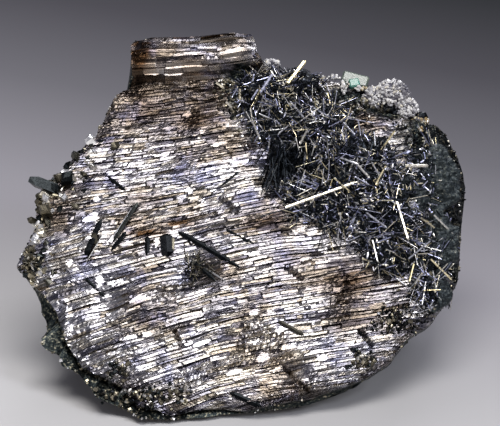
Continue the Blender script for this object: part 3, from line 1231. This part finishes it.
# %% Crystals on the left rim
# (across, up, height, thickness, way to the tip, shade)
RIM_CRYSTALS = (
    (-17.2, 21.5, 0.3, 0.72, (-2.2, 0.7, 0.5), 0.14), (-16.3, 22.3, 0.2, 0.80, (0.1, 0.2, 0.9), 0.20),
    (-16.5, 20.6, 0.3, 0.42, (0.1, -0.2, 0.8), 1.00), (-18.0, 20.6, 0.1, 0.50, (-0.2, -0.1, 0.8), 0.96),
    (-18.0, 19.3, 0.2, 0.75, (-0.2, 0.1, 0.9), 0.62), (-19.1, 18.7, -0.2, 0.38, (-0.5, 0.1, 0.4), 0.60),
    (-18.4, 18.0, 0.1, 0.38, (-0.1, -0.2, 0.6), 0.94), (-18.9, 16.8, 0.1, 0.42, (-0.2, -0.2, 0.7), 1.00),
    (-17.2, 21.4, 0.1, 0.60, (-0.2, 0.1, 0.8), 0.30), (-15.3, 24.2, 0.1, 0.50, (-0.4, 0.6, 0.6), 0.45))
LEFT_EDGE = ((12.4, 14.4, 18.2, 20.8, 22.8, 24.3, 26.6, 30.2),
             (-19.0, -20.0, -18.7, -18.6, -17.1, -15.7, -13.6, -12.2))
RIM_BLOCKS = 200
ROOTED, SMALL_ROOTED = 0.4, 0.35
dice = np.random.default_rng(88)
rim_shape = unit_crystal("rim_model", 4, 0, 0.72, 1, 0.72)

steps = np.array([crystal[4] for crystal in RIM_CRYSTALS]) * 1.1
at = np.array([crystal[:3] for crystal in RIM_CRYSTALS])
size = np.array([crystal[3] for crystal in RIM_CRYSTALS]) * MM
base = on_face(at[:, 0], at[:, 1], at[:, 2] + relief(at[:, 0], at[:, 1]) - ROOTED)
large = stand(base, base + way(*steps.T) * MM, size, size * 0.8, np.arange(len(at)) * 0.7)
up = dice.uniform(12.6, 26.0, RIM_BLOCKS)
across = np.interp(up, *LEFT_EDGE) + dice.exponential(1.0, RIM_BLOCKS)
size = 0.14 + 0.45 * dice.random(RIM_BLOCKS) ** 2.5
base = on_face(across, up, relief(across, up) - SMALL_ROOTED)
away = way(dice.normal(-0.3, 0.5, RIM_BLOCKS), dice.normal(0, 0.5, RIM_BLOCKS),
           dice.uniform(0.6, 1.0, RIM_BLOCKS))
small = stand(base, base + away * ((0.35 + 0.6 * size) * MM)[:, None], size * MM,
              size * dice.uniform(0.4, 1.0, RIM_BLOCKS) * MM, across * 5)
shades = np.concatenate(([crystal[5] for crystal in RIM_CRYSTALS], dice.random(RIM_BLOCKS) ** 0.7))
rim_blocks = joined("rim_blocks", rim_shape, together(large, small), shades)

# %% [markdown]
# A flower of thin blades opens at the leftmost point of the rim, in all directions from one root.

# %% The rosette
ROSETTE = (-19.3, 14.5, 0.2)
PETALS = 46
angle, tier = dice.uniform(0, TURN, PETALS), dice.uniform(0.1, 1.4, PETALS)
petals = way(np.cos(angle) * np.cos(tier), np.sin(angle) * np.cos(tier), np.sin(tier)) * MM
base = on_face(ROSETTE[0], ROSETTE[1], ROSETTE[2] + float(relief(*ROSETTE[:2])) - 0.1) - petals * 0.1
rosette = joined("rosette", blade_shape,
                 stand(base, base + petals * dice.uniform(0.75, 1.2, PETALS)[:, None],
                       dice.uniform(0.2, 0.4, PETALS) * MM, dice.uniform(0.05, 0.12, PETALS) * MM, angle),
                 dice.uniform(0.35, 1.0, PETALS))

# %% [markdown]
# Dark blades lie flat across the striations, some with a thin bright edge beside them. A small
# spray of needles lies in a pit near the middle.

# %% Blades and a spray on the face
# (start, end, width, shade)
BLADES = (
    ((-13.1, 18.3), (-14.6, 14.5), 0.48, 0.02), ((-12.9, 16.9), (-14.4, 14.2), 0.10, 0.9),
    ((-9.9, 19.8), (-12.1, 16.0), 0.32, 0.35), ((-10.25, 19.5), (-12.2, 16.3), 0.10, 0.98),
    ((-10.9, 17.0), (-12.2, 15.3), 0.30, 0.05), ((-9.0, 16.5), (-9.0, 14.6), 0.42, 0.03),
    ((-7.4, 16.7), (-7.2, 14.5), 1.05, 0.00), ((-6.8, 16.4), (-6.8, 14.9), 0.36, 0.66),
    ((-6.3, 16.9), (-0.9, 13.5), 0.46, 0.05), ((-3.4, 15.2), (-1.4, 13.9), 0.16, 0.62),
    ((-5.2, 14.4), (-3.0, 12.3), 0.35, 0.10), ((-4.1, 13.8), (-2.1, 12.2), 0.14, 0.95),
    ((-14.4, 12.8), (-12.6, 11.0), 0.26, 0.15), ((-2.1, 17.0), (0.6, 15.5), 0.26, 0.20),
    ((-1.7, 2.2), (1.0, 1.0), 0.50, 0.05), ((-12.6, 22.4), (-11.0, 21.0), 0.22, 0.15),
    ((-1.0, 22.6), (-2.6, 21.2), 0.18, 0.25), ((2.4, 8.6), (4.8, 7.2), 0.34, 0.45))
SPRAY_AT, SPRAY_NEEDLES = (-4.7, 13.7), 60
BLADE_HEIGHT = 0.12
starts, ends = (np.array([blade[i] for blade in BLADES]) for i in (0, 1))
breadth = np.array([blade[2] for blade in BLADES]) * MM * 0.6
base = on_face(starts[:, 0], starts[:, 1], relief(*starts.T) + BLADE_HEIGHT)
tip = on_face(ends[:, 0], ends[:, 1], relief(*ends.T) + BLADE_HEIGHT)
blade_stand = stand(base, tip, breadth, breadth * 0.28 + 0.05 * MM, 0 * breadth, flat_on_face=True)
face_blades = joined("face_blades", blade_shape, blade_stand, np.array([blade[3] for blade in BLADES]))

spray = dice.uniform(0, TURN, SPRAY_NEEDLES)
across = SPRAY_AT[0] + dice.normal(0, 0.5, SPRAY_NEEDLES)
up = SPRAY_AT[1] + dice.normal(0, 0.4, SPRAY_NEEDLES)
reach = dice.uniform(0.3, 1.2, SPRAY_NEEDLES)
base = on_face(across, up, relief(across, up) + 0.3)
tip = on_face(across + np.cos(spray) * reach, up + np.sin(spray) * reach,
              relief(across, up) + dice.uniform(0.4, 1.1, SPRAY_NEEDLES))
spray_stand = stand(base, tip, 0 * reach + 0.055 * MM, 0 * reach + 0.04 * MM, spray)
face_spray = joined("face_spray", needle_shape, spray_stand, dice.uniform(0.1, 0.9, SPRAY_NEEDLES))

# %% [markdown]
# Broken edges glitter because they are crowds of tiny crystal ends. Small blocks are strewn over
# the rounded right shoulder, where the felt leaves it bare, and on crumbly grey patches of the
# face.

# %% Tiny blocks on the shoulder and the crumbly patches
RIGHT_EDGE_AT = ((4.7, 6.5, 9.0, 11.3, 13.7, 16.4, 19.6, 23.5, 26.0, 27.9, 28.5),
                 (12.2, 13.3, 15.6, 17.1, 18.3, 18.6, 18.9, 19.4, 18.8, 17.4, 15.6))
SHOULDER_BLOCKS, SHOULDER_DEPTH = 1500, 5.0
# (across, up, length, breadth, number of blocks)
CRUMBLY_PATCH = (
    (-1.2, 30.0, 1.2, 1.6, 120), (-2.0, 31.6, 0.9, 0.4, 30), (0.2, 27.4, 0.9, 0.9, 40),
    (9.4, 29.2, 2.0, 0.6, 60), (-8.6, 2.0, 3.4, 0.7, 130), (-11.6, 4.0, 1.0, 1.0, 30),
    (9.6, 5.4, 1.2, 0.8, 40), (12.6, 9.0, 1.0, 1.0, 30))
up = dice.uniform(7.5, 28.4, SHOULDER_BLOCKS)
inward = SHOULDER_DEPTH * dice.random(SHOULDER_BLOCKS) ** 1.3
across = np.interp(up, *RIGHT_EDGE_AT) - inward
clear = mat_height(across, up) < 1.2 + 0.8 * dice.random(SHOULDER_BLOCKS) * (across > 15)
across, up = across[clear], up[clear]
size = 0.04 + 0.11 * dice.random(len(up)) ** 2
base = on_face(across, up, relief(across, up) + mat_height(across, up) * 0.3 - 0.1)
away = way(dice.normal(0.2, 0.6, len(up)), dice.normal(0.1, 0.6, len(up)), 1.0 + 0 * up)
tip = base + away * ((0.1 + 0.6 * size) * MM)[:, None]
shoulder = stand(base, tip, size * MM, size * 0.8 * MM, across * 7)
patches = scattered(CRUMBLY_PATCH, dice, (0.08, 0.24), 0.15)
shades = np.concatenate((dice.random(len(up)) ** 3.0, dice.random(len(patches[1]))))
shoulder_blocks = joined("shoulder_blocks", block_shape, together(shoulder, patches), shades)

# %% [markdown]
# Other blocks stand out of the rim and the upper rings of the wall, thickly on the left, where
# the wall shows in front, and thinly everywhere else.

# %% Tiny blocks on the wall
WALL_BLOCKS = 2600
WALL_CORE = (*CORE, 8.0)
THINNEST = 0.12
rim_share = dice.random(WALL_BLOCKS)
rim_index = (rim_share * len(rim_places)).astype(int)
ring_pick = dice.integers(0, 11, WALL_BLOCKS)
spot = np.array([([rim_places] + rings)[ring][i] for ring, i in zip(ring_pick, rim_index)])
left = np.clip((-spot[:, 0] - 1) / 8, THINNEST, 1) > dice.random(len(spot))
spot = spot[left]
out = spot - WALL_CORE
out /= np.linalg.norm(out, axis=1, keepdims=True)
out += dice.normal(0, 0.5, out.shape)
out /= np.linalg.norm(out, axis=1, keepdims=True)
size = 0.10 + 0.26 * dice.random(len(spot)) ** 1.6
base, tip = spot - out * size[:, None] * 0.6, spot + out * size[:, None] * 0.35
block_stand = stand(base * MM, tip * MM, size * 0.5 * MM, size * 0.4 * MM, spot[:, 0])
wall_blocks = joined("wall_blocks", block_shape, block_stand, dice.random(len(spot)))

# %% [markdown]
# The dark crystals are the same metal as the plates, grown without tarnish: a blue-black steel
# whose polished faces flash white or straw. Each crystal's own shade picks its colour.

# %% Dark crystals of the ore
def ore_crystal():
    """Dark bluish steel with bright and straw-coloured faces by each crystal's own shade."""
    material, tree, shader = start_material("andorite_crystals")
    here = add(tree, "ShaderNodeTexCoord").outputs["Object"]
    shade = mark_of(tree, "shade")
    grain = lumps_of(tree, here, 0.3)
    body = ramp(tree, shade, (0.0, "#090c10"), (0.3, "#262b2c"), (0.6, "#5f5a4c"), (0.82, "#b9b098"),
                (1.0, "#ffffff"))
    body = mix(tree, level(tree, grain, 0.45, 0.7, 0.0, 0.35), body, colour("#1e2021"))
    rough = level(tree, grain, 0.3, 0.7, 0.18, 0.4)
    cover(tree, shader, body, rough, ((grain, 0.3, 0.04),), {"Metallic": 0.85})
    return material


dark_crystals = ore_crystal()
for piece in (seat, rim_blocks, rosette, face_blades, face_spray, shoulder_blocks, wall_blocks):
    dress(piece, dark_crystals, "andorite", "andorite_mass")

# %% [markdown]
# The camera looks down at the face by 27 degrees from in front. A long lens keeps the outline
# nearly free of perspective.

# %% Camera
CAMERA_HEIGHT = math.radians(27.0)
CAMERA_AWAY = 240.0 * MM
AIM = on_face(0, 19.4)
PICTURE_PIXELS, SPECIMEN_PIXELS, SPECIMEN_WIDTH = 500, 451, 40.0
PICTURE_WIDTH = PICTURE_PIXELS * SPECIMEN_WIDTH / SPECIMEN_PIXELS * MM
SENSOR_WIDTH = 36.0


def look(height_angle, side_angle, away):
    """A place away from the aim point, at a height angle and a side angle, and the turn to face it."""
    level_share = math.cos(height_angle)
    back = Vector((math.sin(side_angle) * level_share, -math.cos(side_angle) * level_share,
                   math.sin(height_angle)))
    return Vector(AIM) + back * away, (-back).to_track_quat("-Z", "Y").to_euler()


deselect()
place, turn = look(CAMERA_HEIGHT, 0.0, CAMERA_AWAY)
bpy.ops.object.camera_add(location=place, rotation=turn)
camera = bpy.context.object
camera.data.sensor_width = SENSOR_WIDTH
camera.data.lens = SENSOR_WIDTH * CAMERA_AWAY / PICTURE_WIDTH
camera.data.clip_start, camera.data.clip_end = 0.005, 5.0
bpy.context.scene.camera = camera
print("lens of", round(camera.data.lens), "mm")

# %% [markdown]
# The floor is a plain matt plane, pale in front and darker towards the back right.

# %% Floor
FLOOR_FADE_WAY = (0.42, 0.91, 0.0)
FADE_SPAN = (-0.03, 0.12)
bpy.ops.mesh.primitive_plane_add(size=3.0)
floor = bpy.context.object
floor.name = "floor"
floor_material, floor_tree, floor_shader = start_material("pale_floor")
where = add(floor_tree, "ShaderNodeTexCoord").outputs["Object"]
depth = add(floor_tree, "ShaderNodeVectorMath", {0: where, 1: FLOOR_FADE_WAY}, operation="DOT_PRODUCT")
sweep = level(floor_tree, depth.outputs["Value"], *FADE_SPAN, 0.0, 1.0)
floor_tree.links.new(ramp(floor_tree, sweep, (0.04, "#bcbbba"), (0.16, "#a6a5a5"), (0.30, "#8b898d"),
                           (0.48, "#626165"), (0.62, "#454448"), (0.76, "#2d2e30")),
                     floor_shader.inputs["Base Color"])
floor_shader.inputs["Roughness"].default_value = 0.7
floor_shader.inputs["Specular IOR Level"].default_value = 0.0
floor.data.materials.append(floor_material)
print("floor of", floor.dimensions.x, "m")

# %% [markdown]
# A large soft light stands high in front, where the plates mirror it. Three weaker ones light the
# right side, the front and the back, and a faint bluish room fills the shadows.

# %% Lights
# (name, height angle, side angle, distance, size, power, colour)
LIGHTS = (
    ("key_light", 82, 0, 0.40, (0.30, 0.17), 1.6, "#fdfbfa"),
    ("side_light", 40, 60, 0.45, (0.10, 0.20), 0.9, "#f2f5ff"),
    ("front_fill", 10, -15, 0.50, (0.40, 0.16), 0.55, "#fff9f2"),
    ("back_light", 35, 165, 0.45, (0.25, 0.10), 0.9, "#f7f7ff"))


def soft_light(name, height_angle, side_angle, away, size, power, tint):
    """A rectangular soft light that faces the specimen."""
    spot, turned = look(math.radians(height_angle), math.radians(side_angle), away)
    bpy.ops.object.light_add(type="AREA", location=spot, rotation=turned)
    lamp = bpy.context.object
    lamp.name = name
    lamp.data.shape = "RECTANGLE"
    lamp.data.size, lamp.data.size_y = size
    lamp.data.energy = power
    lamp.data.color = colour(tint)[:3]


for light in LIGHTS:
    soft_light(*light)

world = bpy.data.worlds.new("studio")
bpy.context.scene.world = world
world.use_nodes = True
world.node_tree.nodes["Background"].inputs["Color"].default_value = colour("#6c6d7c")
world.node_tree.nodes["Background"].inputs["Strength"].default_value = 0.85
bpy.context.scene.view_settings.view_transform = "Standard"
print(len(LIGHTS), "soft lights")
